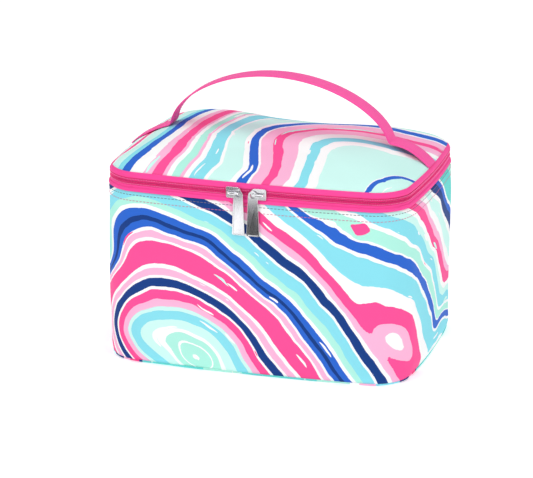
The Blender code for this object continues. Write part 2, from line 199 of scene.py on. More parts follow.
def outward(station):
    """Unit normal of the outline, pointing out."""
    before = Vector(outline(station - 0.01, 0))
    after = Vector(outline(station + 0.01, 0))
    tangent = (after - before).normalized()
    return Vector((tangent.y, -tangent.x))


def spot(station, inset, height):
    """A place on the outline, the direction along it and the normal that points out."""
    out = outward(station)
    x, y = outline(station, inset)
    return Vector((x, y, height)), Vector((-out.y, out.x, 0)), Vector((out.x, out.y, 0))


def side_normals(path):
    """Unit normals of a line of points in a plane, to the left of its run."""
    normals = []
    for before, after in zip([path[0], *path[:-1]], [*path[1:], path[-1]]):
        tangent = Vector((after[0] - before[0], after[1] - before[1])).normalized()
        normals.append((-tangent.y, tangent.x))
    return normals


def arc(x, y, radius, start, sweep, steps):
    """Points of an arc about (x, y), from a start angle in degrees."""
    points = []
    for step in range(steps + 1):
        angle = math.radians(start + sweep * step / steps)
        points.append((x + radius * math.cos(angle), y + radius * math.sin(angle)))
    return points


def smooth_step(low, high, x):
    """A soft step from 0 at low to 1 at high."""
    t = np.clip((x - low) / (high - low), 0, 1)
    return t * t * (3 - 2 * t)


# ---- meshes ----
def link_object(name, data):
    """A new object in the scene."""
    obj = bpy.data.objects.new(name, data)
    bpy.context.scene.collection.objects.link(obj)
    return obj


def set_values(target, **values):
    """Set several settings of a modifier, a light or a node."""
    for key, value in values.items():
        setattr(target, key, value)
    return target


def set_floats(obj, key, values):
    """Store one number per point."""
    attribute = obj.data.attributes.get(key) or obj.data.attributes.new(key, "FLOAT", "POINT")
    attribute.data.foreach_set("value", np.asarray(values, np.float32).ravel())


def floats_of(obj, key):
    """The numbers stored by set_floats."""
    values = np.zeros(len(obj.data.vertices), np.float32)
    obj.data.attributes[key].data.foreach_get("value", values)
    return values.astype(float)


def new_object(name, points, faces, material, floats=None):
    """An object from arrays, with optional float attributes per point."""
    mesh = bpy.data.meshes.new(name)
    mesh.from_pydata([tuple(p) for p in points], [], [tuple(f) for f in faces])
    mesh.shade_smooth()
    mesh.materials.append(material)
    obj = link_object(name, mesh)
    for key, values in (floats or {}).items():
        set_floats(obj, key, values)
    return obj


def cloth_floats(along, across):
    """Cloth coordinates of a grid of points: how far along its rows and across its columns."""
    return {"cloth_u": np.repeat(along, len(across)), "cloth_v": np.tile(across, len(along))}


def grid_faces(rows, columns, wrap_rows=False, wrap_columns=False):
    """Quads of a grid of points stored row by row."""
    faces = []
    for i in range(rows if wrap_rows else rows - 1):
        for j in range(columns if wrap_columns else columns - 1):
            a = i * columns + j
            b = i * columns + (j + 1) % columns
            c = ((i + 1) % rows) * columns + (j + 1) % columns
            d = ((i + 1) % rows) * columns + j
            faces.append((a, b, c, d))
    return faces


def tube_faces(rings, sides):
    """Quads of a tube stored ring by ring, and its two ends."""
    faces = grid_faces(rings, sides, wrap_columns=True)
    faces.append(tuple(range(sides)))
    faces.append(tuple(range((rings - 1) * sides, rings * sides)))
    return faces


def rim_points(rows, columns):
    """Indices of the points on the rim of a grid."""
    index = np.arange(rows * columns).reshape(rows, columns)
    return np.unique(np.concatenate([index[:, 0], index[:, -1], index[0], index[-1]]))


def face_outwards(obj):
    """Turn every face of a closed mesh outwards."""
    bm = bmesh.new()
    bm.from_mesh(obj.data)
    bmesh.ops.recalc_face_normals(bm, faces=bm.faces)
    bm.to_mesh(obj.data)
    bm.free()
    return obj


def apply_modifiers(obj):
    """Make an object's evaluated mesh its own."""
    graph = bpy.context.evaluated_depsgraph_get()
    evaluated = obj.evaluated_get(graph)
    mesh = bpy.data.meshes.new_from_object(evaluated, preserve_all_data_layers=True, depsgraph=graph)
    obj.modifiers.clear()
    old = obj.data
    obj.data = mesh
    bpy.data.meshes.remove(old)
    return obj


def coordinates(obj, key="co"):
    """Places of a mesh's points, or their normals."""
    values = np.zeros(len(obj.data.vertices) * 3)
    obj.data.vertices.foreach_get(key, values)
    return values.reshape(-1, 3)


def set_coordinates(obj, points):
    """Move a mesh's points to these places."""
    obj.data.vertices.foreach_set("co", np.asarray(points, np.float32).ravel())
    obj.data.update()


def settle(obj, body, slot, *nodes):
    """Let a piece ride on a body and stand for its CAD nodes. The slot is not used."""
    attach(obj, body)
    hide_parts(*nodes)


def loft(name, rings, material, floats=None, closed=False):
    """A tube through rings of points, with two ends or closed on itself."""
    rows, columns = len(rings), len(rings[0])
    if closed:
        faces = grid_faces(rows, columns, wrap_rows=True, wrap_columns=True)
    else:
        faces = tube_faces(rows, columns)
    points = [point for ring in rings for point in ring]
    return face_outwards(new_object(name, points, faces, material, floats))


def sweep(name, section, stations, distances, material, closed=False):
    """Carry a closed section of (inset, height) points along the outline, with cloth coordinates."""
    rings = [[(*outline(station, inset), height) for inset, height in section] for station in stations]
    return loft(name, rings, material, cloth_floats(distances, lengths_along(section)), closed)


def simulate(obj, pinned, pressure, slack, cap):
    """Let padding push the cloth out between its pinned seams, and keep the result."""
    frames = 20
    rest = coordinates(obj)
    group = obj.vertex_groups.new(name="seams")
    group.add([int(i) for i in pinned], 1.0, "REPLACE")
    cloth = obj.modifiers.new("cloth", "CLOTH")
    set_values(
        cloth.settings, quality=6, mass=0.15, tension_stiffness=20, compression_stiffness=20,
        shear_stiffness=8, bending_stiffness=6, vertex_group_mass="seams", use_pressure=True,
        uniform_pressure_force=pressure, shrink_min=-slack,
    )
    cloth.settings.effector_weights.gravity = 0
    cloth.collision_settings.use_collision = False
    set_values(cloth.point_cache, frame_start=1, frame_end=frames)
    scene = bpy.context.scene
    for step in range(1, frames + 1):
        scene.frame_set(step)
    shift = coordinates(obj.evaluated_get(bpy.context.evaluated_depsgraph_get())) - rest
    obj.modifiers.clear()
    scene.frame_set(1)
    shift[~np.isfinite(shift)] = 0
    # the cloth lies on its padding, so it only swells outwards
    normals = coordinates(obj, "normal")
    sunk = np.minimum((shift * normals).sum(axis=1), 0)
    shift -= sunk[:, None] * normals
    size = np.linalg.norm(shift, axis=1)
    shift *= (np.minimum(size, cap) / np.maximum(size, 1e-9))[:, None]
    set_coordinates(obj, rest + shift)


def thicken(obj, thickness):
    """Give a sheet a back face and rims."""
    solidify = obj.modifiers.new("thickness", "SOLIDIFY")
    set_values(solidify, thickness=thickness, offset=-1, use_even_offset=True)
    return apply_modifiers(obj)


def subdivide(obj):
    """Smooth a sheet and double its rows and columns."""
    set_values(obj.modifiers.new("fine", "SUBSURF"), levels=1, render_levels=1)
    return apply_modifiers(obj)


def soft_noise(x, y, z, scale):
    """Smooth noise from -1 to 1 that depends on the place alone."""
    return noise.noise(Vector((x * scale, y * scale, z * scale)))


# ---- materials ----
class Nodes:
    """A small helper that adds shader nodes and links them."""

    def __init__(self, name):
        self.material = bpy.data.materials.new(name)
        self.material.use_nodes = True
        self.tree = self.material.node_tree
        self.shader = self.tree.nodes["Principled BSDF"]

    def add(self, kind, **values):
        return set_values(self.tree.nodes.new(kind), **values)

    def link(self, source, target):
        self.tree.links.new(source, target)

    def feed(self, socket, value):
        """Link a socket, or set its value."""
        if isinstance(value, bpy.types.NodeSocket):
            self.link(value, socket)
        else:
            socket.default_value = value

    def fill(self, node, **values):
        """Feed a node's inputs by name."""
        for key, value in values.items():
            self.feed(node.inputs[key], value)

    def math(self, operation, *values):
        node = self.add("ShaderNodeMath", operation=operation)
        for socket, value in zip(node.inputs, values):
            self.feed(socket, value)
        return node.outputs[0]

    def attribute(self, key):
        return self.add("ShaderNodeAttribute", attribute_name=key).outputs["Fac"]

    def vector(self, x, y, z=0.0):
        node = self.add("ShaderNodeCombineXYZ")
        for socket, value in zip(node.inputs, (x, y, z)):
            self.feed(socket, value)
        return node.outputs[0]

    def place(self):
        return self.add("ShaderNodeTexCoord").outputs["Object"]

    def noise(self, vector, scale, detail=2.0, roughness=0.5):
        node = self.add("ShaderNodeTexNoise")
        self.fill(node, Vector=vector, Scale=scale, Detail=detail, Roughness=roughness)
        return node.outputs["Fac"]

    def mix(self, share, first, second):
        node = self.add("ShaderNodeMix", data_type="RGBA")
        self.feed(node.inputs[0], share)
        self.feed(node.inputs[6], first)
        self.feed(node.inputs[7], second)
        return node.outputs[2]

    def bump(self, height, strength, distance):
        node = self.add("ShaderNodeBump")
        self.fill(node, Strength=strength, Distance=distance, Height=height)
        self.link(node.outputs[0], self.shader.inputs["Normal"])

    def wave(self, value, pitch):
        """A sine of the value, from 0 to 1."""
        turned = self.math("MULTIPLY", value, 2 * math.pi / pitch)
        return self.math("MULTIPLY_ADD", self.math("SINE", turned), 0.5, 0.5)

    def finish(self, colour, roughness, metallic=0.0, sheen=0.0, shine=0.5):
        self.feed(self.shader.inputs["Base Color"], colour)
        self.feed(self.shader.inputs["Roughness"], roughness)
        self.shader.inputs["Metallic"].default_value = metallic
        self.shader.inputs["Specular IOR Level"].default_value = shine
        if sheen:
            self.shader.inputs["Sheen Weight"].default_value = sheen
            self.shader.inputs["Sheen Roughness"].default_value = 0.4
        return self.material


def shade(colour, factor, lift=0.0):
    """A colour made lighter or darker."""
    return (*(min(c * factor + lift, 1.0) for c in colour[:3]), 1.0)


def varied(nodes, colour, amount, scale=60.0):
    """A colour that drifts a little lighter and darker over the cloth."""
    fade = nodes.noise(nodes.place(), scale, 3.0)
    return nodes.mix(fade, shade(colour, 1 - amount), shade(colour, 1 + amount, amount * 0.02))


def weave(nodes, pitch):
    """Height of a plain weave: threads over and under in both directions."""
    warp = nodes.wave(nodes.attribute("cloth_u"), pitch)
    weft = nodes.wave(nodes.attribute("cloth_v"), pitch)
    return nodes.math("ADD", warp, weft)


def printed_inks(nodes, share, bands):
    """Colour of a repeating list of ink bands at a share 0-1 of the way through the list."""
    total = sum(width for _, width in bands)
    most = 28  # a colour ramp holds 32 stops
    colour = None
    start = 0.0
    for first in range(0, len(bands), most):
        part = bands[first : first + most]
        ramp = nodes.add("ShaderNodeValToRGB")
        ramp.color_ramp.interpolation = "CONSTANT"
        elements = ramp.color_ramp.elements
        place = start
        for i, (ink, width) in enumerate(part):
            stop = elements[i] if i < 2 else elements.new(place)
            stop.position = place
            stop.color = INK[ink]
            place += width / total
        nodes.link(share, ramp.inputs["Fac"])
        if colour is None:
            colour = ramp.outputs["Color"]
        else:
            beyond = nodes.math("GREATER_THAN", share, start)
            colour = nodes.mix(beyond, colour, ramp.outputs["Color"])
        start = place
    return colour


def printed_cloth(name, bands, sliver_seed, drift=0.012, fewer=0.0):
    """Woven polyester with a marbled agate print.

    drift is how far, in metres, the bands stray from the flow; sliver_seed places the slivers of ink
    that lie along them, and fewer makes those rarer.
    """
    nodes = Nodes(name)
    place = nodes.place()
    wobbled = nodes.attribute("flow")
    for scale, reach in ((17.0, drift), (48.0, 0.0034), (210.0, 0.0006)):
        stray = nodes.math("MULTIPLY_ADD", nodes.noise(place, scale, 1.0), reach, -reach / 2)
        wobbled = nodes.math("ADD", wobbled, stray)
    total = sum(width for _, width in bands) / 1000
    share = nodes.math("FRACT", nodes.math("DIVIDE", wobbled, total))
    colour = printed_inks(nodes, share, bands)
    across_bands = nodes.math("MULTIPLY", wobbled, 190.0)
    along_bands = nodes.math("MULTIPLY", nodes.attribute("along"), 30.0)
    stretched = nodes.vector(across_bands, along_bands, sliver_seed)
    for ink, threshold, scale in (("white", 0.72, 1.0), ("pale_mint", 0.745, 0.8), ("hot_pink", 0.76, 0.7)):
        flecks = nodes.math("GREATER_THAN", nodes.noise(stretched, scale, 1.0), threshold + fewer)
        colour = nodes.mix(flecks, colour, INK[ink])
    height = weave(nodes, 0.0007)
    nodes.bump(height, 0.25, 0.0001)
    rough = nodes.math("MULTIPLY_ADD", height, 0.05, 0.58)
    return nodes.finish(colour, rough, shine=0.15)


def ribbed_cloth(name, colour, pitch, depth, roughness=0.7, twill=False):
    """Woven tape or webbing with ribs across it, or slanting ribs for a twill; the raised threads get a
    painted highlight.
    """
    nodes = Nodes(name)
    along = nodes.attribute("cloth_u")
    across = nodes.attribute("cloth_v")
    slanted = nodes.math("ADD", along, across) if twill else along
    ribs = nodes.wave(slanted, pitch)
    threads = nodes.wave(across, pitch * 0.6)
    height = nodes.math("MULTIPLY", ribs, threads)
    nodes.bump(height, 0.5, depth)
    # painted highlight: the raised threads are made lighter by their height, as if lit from above
    raised = nodes.math("MULTIPLY", height, 0.16)
    rib_tops_highlit = nodes.mix(raised, varied(nodes, colour, 0.05), shade(colour, 1.3, 0.03))
    return nodes.finish(rib_tops_highlit, roughness, sheen=0.08, shine=0.3)


def plain_cloth(name, colour, roughness=0.75, creases=0.0):
    """Plain woven lining or bias tape; creases is the height of its soft wrinkles in metres."""
    nodes = Nodes(name)
    height = nodes.math("MULTIPLY", weave(nodes, 0.0008), 0.00004)
    if creases:
        folds = nodes.math("MULTIPLY", nodes.noise(nodes.place(), 30.0, 2.0), creases)
        small = nodes.math("MULTIPLY", nodes.noise(nodes.place(), 95.0, 2.0), creases * 0.25)
        height = nodes.math("ADD", height, nodes.math("ADD", folds, small))
    nodes.bump(height, 1.0, 1.0)
    return nodes.finish(varied(nodes, colour, 0.04), roughness, sheen=0.15)


def thread(name, colour):
    """Twisted sewing thread."""
    nodes = Nodes(name)
    twist = nodes.wave(nodes.attribute("cloth_u"), 0.0006)
    nodes.bump(twist, 0.4, 0.00005)
    return nodes.finish(varied(nodes, colour, 0.08, 400.0), 0.6)


def coil_nylon(name, colour):
    """Dyed nylon wire with a soft shine."""
    nodes = Nodes(name)
    rough = nodes.math("MULTIPLY_ADD", nodes.noise(nodes.place(), 900.0), 0.15, 0.28)
    nodes.bump(nodes.noise(nodes.place(), 1500.0), 0.1, 0.00005)
    return nodes.finish(varied(nodes, colour, 0.06, 200.0), rough)


def chromed_metal(name):
    """Chrome plate with faint handling scratches and slightly duller patches."""
    nodes = Nodes(name)
    mapping = nodes.add("ShaderNodeMapping")
    nodes.fill(mapping, Scale=(4.0, 1.0, 0.25), Vector=nodes.place())
    scratches = nodes.noise(mapping.outputs[0], 900.0, 4.0, 0.7)
    rough = nodes.math("MULTIPLY_ADD", scratches, 0.14, 0.05)
    nodes.bump(scratches, 0.06, 0.00004)
    return nodes.finish(varied(nodes, CHROME, 0.05, 150.0), rough, metallic=1.0)


def foam_material(name):
    """Open-cell foam, hidden between the cloth and the lining."""
    nodes = Nodes(name)
    cells = nodes.add("ShaderNodeTexVoronoi")
    nodes.fill(cells, Scale=1400.0, Vector=nodes.place())
    nodes.bump(cells.outputs["Distance"], 0.5, 0.0002)
    return nodes.finish(varied(nodes, rgb(196, 198, 202), 0.06, 300.0), 0.95)


def board_material(name):
    """Black fibre board of the stiffener."""
    nodes = Nodes(name)
    nodes.bump(nodes.noise(nodes.place(), 700.0, 5.0), 0.3, 0.0001)
    return nodes.finish(varied(nodes, rgb(44, 44, 48), 0.15, 500.0), 0.7)


# ---- the print's flow ----
def agate_eye(u, v, centre, degrees, stretch):
    """Distance from an eye's middle, counted shorter along its long axis, and the place along that axis."""
    turn = math.radians(degrees)
    du = u - centre[0]
    dv = v - centre[1]
    along = du * math.cos(turn) + dv * math.sin(turn)
    across = dv * math.cos(turn) - du * math.sin(turn)
    return np.hypot(along / stretch, across), along


def swells(u, v, places):
    """Soft swells and hollows of the flow: where they are steep they close into small eyes."""
    total = 0.0
    for centre, degrees, stretch, height, reach in places:
        distance, _ = agate_eye(u, v, centre, degrees, stretch)
        total = total + height * np.exp(-((distance / reach) ** 2))
    return total


def blended_least(first, second, reach):
    """The smaller of two flows, rounded off where they meet."""
    nearness = np.clip(1 - np.abs(first - second) / reach, 0, 1)
    return np.minimum(first, second) - nearness**2 * reach / 4


def wall_flow(u, v):
    """Flow of the print round the walls: u runs to the right from the front's middle, v is the height."""
    rings, along = agate_eye(u, v, (-0.050, 0.012), -38, 1.75)
    to_right = 0.22 * u + 0.80 * v + 0.092
    to_left = -0.50 * u + 0.866 * v - 0.052
    flow = rings + (to_right - rings) * smooth_step(0.110, 0.250, u)
    flow = flow + (to_left - flow) * smooth_step(0.150, 0.300, -u)
    flow = flow + swells(u, v, (
        ((-0.150, 0.094), 0, 1.0, 0.041, 0.0345),
        ((-0.098, 0.030), 0, 1.6, -0.011, 0.018),
        ((-0.140, 0.158), 0, 1.0, 0.014, 0.030),
        ((0.345, 0.104), -12, 1.6, -0.026, 0.028),
        ((0.400, 0.045), -25, 1.6, 0.034, 0.030),
        ((-0.240, 0.050), 32, 1.7, -0.036, 0.036),
        ((-0.352, 0.100), 30, 1.7, -0.034, 0.036),
    ))
    corner_eye, _ = agate_eye(u, v, (0.130, 0.037), -41, 2.3)
    return blended_least(flow, 0.65 * corner_eye + 0.1275, 0.006), along


def lid_flow(x, y):
    """Flow of the print over the lid: square-shouldered rings round a point near the front right."""
    dx = np.abs(x - 0.095)
    dy = np.abs(y + 0.070) * 0.8
    flow = np.cbrt(dx**3 + dy**3)
    flow = flow + swells(x, y, (
        ((-0.004, -0.022), 0, 1.0, -0.016, 0.044),
        ((-0.120, -0.105), 0, 1.0, -0.022, 0.045),
    ))
    corner, _ = agate_eye(x, y, (0.150, -0.098), 53, 1.45)
    return np.minimum(flow, corner - 0.046), y - 0.6 * x


def print_on(obj, flow_at, mirror=1):
    """Give each point of a cloth its place in the print."""
    flow, along = flow_at(mirror * floats_of(obj, "cloth_u"), floats_of(obj, "cloth_v"))
    set_floats(obj, "flow", flow)
    set_floats(obj, "along", along)


# ---- padded walls ----
def build_wall_cloth(material):
    """The printed cloth round the walls: cloth simulation over the padding, then a fine surface."""
    stations, distance = even_stations(0, STATIONS, 0.0050)
    top = BODY_TOP - 0.0001
    bottom = PIPING_HIGH.z - 0.0004
    heights = np.linspace(0, 1, 33)
    points = []
    pull_in = 0.0022  # the cloth dips towards its seams over this distance
    top_dip, back_dip, under_dip = 0.0002, 0.0008, 0.0012
    roll = 0.0040  # it rolls under, over this height, towards the bottom seam
    for station, run in zip(stations, distance):
        back_seam = back_dip * math.exp(-min(run, distance[-1] - run) / pull_in)
        for share in heights:
            height = bottom + (top - bottom) * share
            near_top = top_dip * math.exp(-(top - height) / pull_in)
            under = under_dip * math.exp(-(((height - bottom) / roll) ** 2))
            x, y = outline(station, near_top + back_seam + under)
            points.append((x, y, height))
    rows, columns = len(stations), len(heights)
    front_middle = distance[np.argmin(np.abs(stations - 4.5))]
    floats = cloth_floats(distance - front_middle, bottom + (top - bottom) * heights)
    wall = new_object("wall_cloth", points, grid_faces(rows, columns), material, floats)
    wall.data.flip_normals()
    # flatter where the pulls hang and travel along the front
    pull_zone = smooth_step(0.100, 0.128, floats["cloth_v"])
    pull_zone *= smooth_step(-0.130, -0.118, -np.abs(floats["cloth_u"]))
    cap = 0.0016 * (1 - 0.7 * pull_zone)
    simulate(wall, rim_points(rows, columns), pressure=0.9, slack=0.006, cap=cap)
    subdivide(wall)
    print_on(wall, wall_flow)
    thicken(wall, CLOTH_DRAWN)
    settle(wall, "case", "printed_cloth", "wall_panel")
    return wall


def square_grid(count_x, count_y, inset):
    """A grid mapped onto the rounded outline: rows of (x, y, share of the way out)."""
    rows = []
    for j in range(count_y + 1):
        for i in range(count_x + 1):
            s = 2 * i / count_x - 1
            t = 2 * j / count_y - 1
            share = max(abs(s), abs(t))
            if share < 1e-9:
                rows.append((0.0, 0.0, 0.0))
                continue
            a = s / share
            b = t / share
            if abs(b + 1) < 1e-9:
                station = 3.5 + (a + 1)
            elif abs(a - 1) < 1e-9:
                station = 5.5 + (b + 1)
            elif abs(b - 1) < 1e-9:
                station = 7.5 + (1 - a) * 1.5
            else:
                station = 10.5 + (1 - b)
            x, y = outline(station, inset)
            rows.append((x * share, y * share, share))
    return rows


def lid_height(x, y, share):
    """Height of the lid's outer face: fuller towards the left side, softer towards the rear right."""
    along = (x / HALF_WIDTH) ** 2
    across = (y / HALF_DEPTH) ** 2
    left = float(smooth_step(-0.02, 0.06, -x))
    power = 2.3 + (1.2 + 1.1 * left) * along / max(along + across, 1e-9)
    right = float(smooth_step(-0.06, 0.06, x))
    rear = 0.4 + 0.6 * float(smooth_step(-0.04, 0.04, y))
    sink = 0.0034 * right * rear * (1 - share**3)
    return LID_TOP - sink - (LID_TOP - LID_SEAM - CLOTH) * share**power


def build_lid_cloth(material):
    """The printed cloth of the domed lid."""
    count_x, count_y = 60, 42
    inset = BAND_LEAN - 0.0004
    points = []
    for x, y, share in square_grid(count_x, count_y, inset):
        height = lid_height(x, y, share) - 0.0016 * math.exp(-(1 - share) / 0.02) + 0.0004
        points.append((x, y, height))
    points = np.array(points)
    rows, columns = count_y + 1, count_x + 1
    floats = {"cloth_u": points[:, 0], "cloth_v": points[:, 1]}
    lid = new_object("lid_cloth", points, grid_faces(rows, columns), material, floats)
    simulate(lid, rim_points(rows, columns), pressure=0.8, slack=0.005, cap=0.0018)
    subdivide(lid)
    print_on(lid, lid_flow)
    thicken(lid, CLOTH_DRAWN)
    settle(lid, "lid", "printed_cloth", "lid_panel")
    return lid


# ---- zip band ----
def band_inset(height):
    """How far the band's face sits inside the wall's face."""
    knee_low = ZIP_LINE - 0.0045
    knee_high = ZIP_LINE + 0.0040
    if height <= knee_low:
        return COIL_INSET * (height - BODY_TOP) / (knee_low - BODY_TOP)
    if height <= knee_high:
        return COIL_INSET
    return COIL_INSET + (BAND_LEAN - COIL_INSET) * (height - knee_high) / (LID_SEAM - knee_high)


def band_section(profile):
    """Turn (depth behind the band's face, height) points into (inset, height) points."""
    return [(band_inset(height) + depth, height) for depth, height in profile]


def build_zip_band(tape_material):
    """The two halves of the pink band: a folded strip over the zip tape, on either side of the coils."""
    stations, distances = even_stations(ZIP_START, ZIP_END, 0.0022)
    fold = ZIP_LINE - 0.0051
    coil_edge = ZIP_LINE - 0.0030
    lower = band_section([
        (0.0000, BODY_TOP + 0.0001), (-0.0005, BODY_TOP + 0.0006), (-0.0007, BODY_TOP + 0.0014),
        (-0.0007, fold - 0.0009), (-0.0004, fold - 0.0002), (0.0001, fold), (0.0003, fold + 0.0002),
        (0.0001, fold + 0.0005), (0.0001, coil_edge - 0.0002), (0.0003, coil_edge),
        (0.0007, coil_edge + 0.0001), (0.0007, ZIP_LINE - 0.0002), (0.0011, ZIP_LINE - 0.0002),
        (0.0012, BODY_TOP + 0.0012), (0.0009, BODY_TOP + 0.0001),
    ])
    fold = ZIP_LINE + 0.0037
    coil_edge = ZIP_LINE + 0.0030
    upper = band_section([
        (0.0009, LID_SEAM - 0.0001), (0.0014, LID_SEAM - 0.0010), (0.0011, ZIP_LINE + 0.0002),
        (0.0007, ZIP_LINE + 0.0002), (0.0007, coil_edge - 0.0001), (0.0003, coil_edge),
        (0.0001, coil_edge + 0.0002), (0.0001, fold - 0.0003), (0.0003, fold - 0.0002), (0.0001, fold),
        (-0.0004, fold + 0.0002), (-0.0008, fold + 0.0009), (-0.0009, LID_SEAM - 0.0014),
        (-0.0007, LID_SEAM - 0.0004), (0.0000, LID_SEAM + 0.0001),
    ])
    for name, section, body, node in (
        ("lower_band", lower, "case", "lower_zip_tape"),
        ("upper_band", upper, "lid", "upper_zip_tape"),
    ):
        band = sweep(name, section, stations, distances, tape_material)
        settle(band, body, "zip_tape", node)


def coil_stations(spacing):
    """Stations along the coils, which stop just short of the tape's ends."""
    return even_stations(ZIP_START + 0.01, ZIP_END - 0.01, spacing, COIL_INSET)


def coil_mesh(name, middle_height, phase, material):
    """One side of a coil zip: a wire wound along the band."""
    wire = 0.00044
    depth = 0.00038
    rise = 0.00118
    sides = 5
    steps_per_turn = 9
    up = Vector((0, 0, 1))
    stations, distances = coil_stations(COIL_PITCH / steps_per_turn)
    rings = []
    for station, distance in zip(stations, distances):
        angle = 2 * math.pi * distance / COIL_PITCH + phase
        place, run, out = spot(station, COIL_MIDDLE, middle_height)
        centre = place + out * (depth * math.cos(angle)) + up * (rise * math.sin(angle))
        # the wire's section is spanned by the winding's radius and the run of the band
        radial = out * math.cos(angle) + up * math.sin(angle)
        ring = []
        for i in range(sides):
            turn = 2 * math.pi * i / sides
            ring.append(centre + wire * (radial * math.cos(turn) + run * math.sin(turn)))
        rings.append(ring)
    return loft(name, rings, material)


def coil_stitches(name, height, material, body):
    """The chain stitches that hold one coil on its tape, one to each turn of the coil."""
    proud = 0.00072
    places = [spot(station, COIL_MIDDLE - proud, height) for station in coil_stations(COIL_PITCH)[0]]
    stitches(name, places, material, body, length=0.00080, radius=0.00034)


def build_coils(material, stitch_material):
    """Both coils, meshed together along the zip line."""
    for name, side, body, node in (
        ("lower_coil", -1, "case", "lower_zip_coil"),
        ("upper_coil", 1, "lid", "upper_zip_coil"),
    ):
        phase = 0 if side > 0 else math.pi
        coil = coil_mesh(name, ZIP_LINE + side * 0.00140, phase, material)
        settle(coil, body, "zip_coil", node)
        coil_stitches(name + "_stitches", ZIP_LINE + side * 0.00215, stitch_material, body)


def build_hinge_band(material):
    """The cloth across the back that joins the lid to the case, drawn in its closed shape; the real cloth
    folds along its lower seam.
    """
    stations, distances = even_stations(ZIP_END - 0.06, STATIONS + ZIP_START + 0.06, 0.0030)
    heights = np.linspace(BODY_TOP - 0.0012, LID_SEAM - 0.0002, 16)
    face = [(-0.0010 - 0.0003 * math.sin(math.pi * i / 15), h) for i, h in enumerate(heights)]
    back = [(-0.0002, h) for h in reversed(heights) if h > BODY_TOP + 0.0011]
    # a lip over the top edge of the wall's cloth
    back += [
        (-0.0002, BODY_TOP + 0.0010), (0.0011, BODY_TOP + 0.0008), (0.0011, BODY_TOP + 0.0003),
        (-0.0002, BODY_TOP + 0.0002), (-0.0002, BODY_TOP - 0.0012),
    ]
    hinge = sweep("hinge_cloth", band_section(face + back), stations, distances, material)
    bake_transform(hinge)
    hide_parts("hinge_band")


# ---- seams, cord and stitches ----
def build_piping(material):
    """Covered cord round the bottom seam, a little uneven as hand-guided piping is."""
    stations, distances = even_stations(0, STATIONS, 0.0030)
    radius = (PIPING_HIGH.z - PIPING_LOW.z) / 2
    middle = (PIPING_HIGH.z + PIPING_LOW.z) / 2
    section = arc(0.0020, middle, radius, 0, 330, 11)
    cord = sweep("base_cord", section, stations[:-1], distances[:-1], material, closed=True)
    points = coordinates(cord)
    for point in points:
        sway = 0.0005 * soft_noise(point[0], point[1], 7.0, 45.0)
        point[:2] *= 1 - sway / HALF_DEPTH
    set_coordinates(cord, points)
    # the inks are counted from the front's left end
    print_on(cord, lambda u, v: (u - distances[-1] / 2 + HALF_WIDTH, v))
    settle(cord, "case", "piping", "base_piping")


def stitches(name, places, material, body, length=0.0026, radius=0.00028):
    """Short lengths of thread: places holds (middle, direction, normal) of each."""
    points = []
    faces = []
    along = []
    rings = ((-0.5, 0.35), (-0.42, 0.8), (-0.2, 1.0), (0.2, 1.0), (0.42, 0.8), (0.5, 0.35))
    sides = 6
    for middle, direction, normal in places:
        base = len(points)
        side = direction.cross(normal)
        for offset, fat in rings:
            sink = -0.9 * radius * (2 * abs(offset)) ** 3
            ring_middle = middle + direction * (offset * length) + normal * sink
            for k in range(sides):
                angle = 2 * math.pi * k / sides
                spoke = normal * math.cos(angle) + side * math.sin(angle)
                points.append(ring_middle + radius * fat * spoke)
                along.append(offset * length)
        for face in tube_faces(len(rings), sides):
            faces.append(tuple(base + k for k in face))
    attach(face_outwards(new_object(name, points, faces, material, {"cloth_u": along})), body)


def build_topstitching(wall, upper_thread, lower_thread):
    """Two rows of stitches on the wall, under the band."""
    tree = BVHTree.FromObject(wall, bpy.context.evaluated_depsgraph_get())
    pitch, before, proud = 0.0033, 0.01, 0.00008
    for name, drop, material in (
        ("topstitch_upper", 0.0030, upper_thread),
        ("topstitch_lower", 0.0082, lower_thread),
    ):
        places = []
        for station in even_stations(0, STATIONS, pitch)[0][:-1]:
            place, run, out = spot(station, 0, BODY_TOP - drop)
            hit, normal, _, _ = tree.ray_cast(place + out * before, -out)
            if hit is not None:
                places.append((hit + normal * proud, run, normal))
        stitches(name, places, material, "case")


# ---- handle ----
def handle_path(lid):
    """Centre line of the webbing from seam to seam, as evenly spaced (x, z) points."""
    half_span = STRAP_HIGH.x
    foot = LID_TOP - 0.0005
    rise = STRAP_HIGH.z - 0.0007 - foot
    lean = 0.005
    arch = []
    for angle in np.linspace(-math.pi / 2, math.pi / 2, 80):
        x = half_span * math.sin(angle) - lean * math.cos(angle)
        arch.append((x, foot + rise * max(math.cos(angle), 0) ** 1.25))
    tree = BVHTree.FromObject(lid, bpy.context.evaluated_depsgraph_get())
    tuck_x = outline(6.5, BAND_LEAN)[0] + 0.0008  # the ends are sewn in under the band's top edge
    seam_z = LID_SEAM + 0.0005
    crease_z = foot - 0.0022
    tails = {}
    for side, bow in ((-1, 1.6), (1, 2.0)):
        tail = []
        for t in np.linspace(0, 1, 14):
            x = side * (tuck_x + (half_span + 0.0006 - tuck_x) * t)
            z = seam_z + (crease_z - seam_z) * (1 - (1 - t) ** bow)
            for y in (STRAP_LOW.y, 0, STRAP_HIGH.y):
                hit = tree.ray_cast(Vector((x, y, 0.3)), Vector((0, 0, -1)))[0]
                if hit is not None:
                    z = max(z, hit.z + 0.0010)
            tail.append((x, z))
        tails[side] = tail
    path = np.array(tails[-1] + arch[1:-1] + tails[1][::-1])
    length = lengths_along(path)
    distance = np.linspace(0, length[-1], 300)
    even = np.stack([np.interp(distance, length, path[:, 0]), np.interp(distance, length, path[:, 1])], 1)
    for _ in range(8):
        even[1:-1] = 0.5 * even[1:-1] + 0.25 * (even[:-2] + even[2:])
    return even, distance


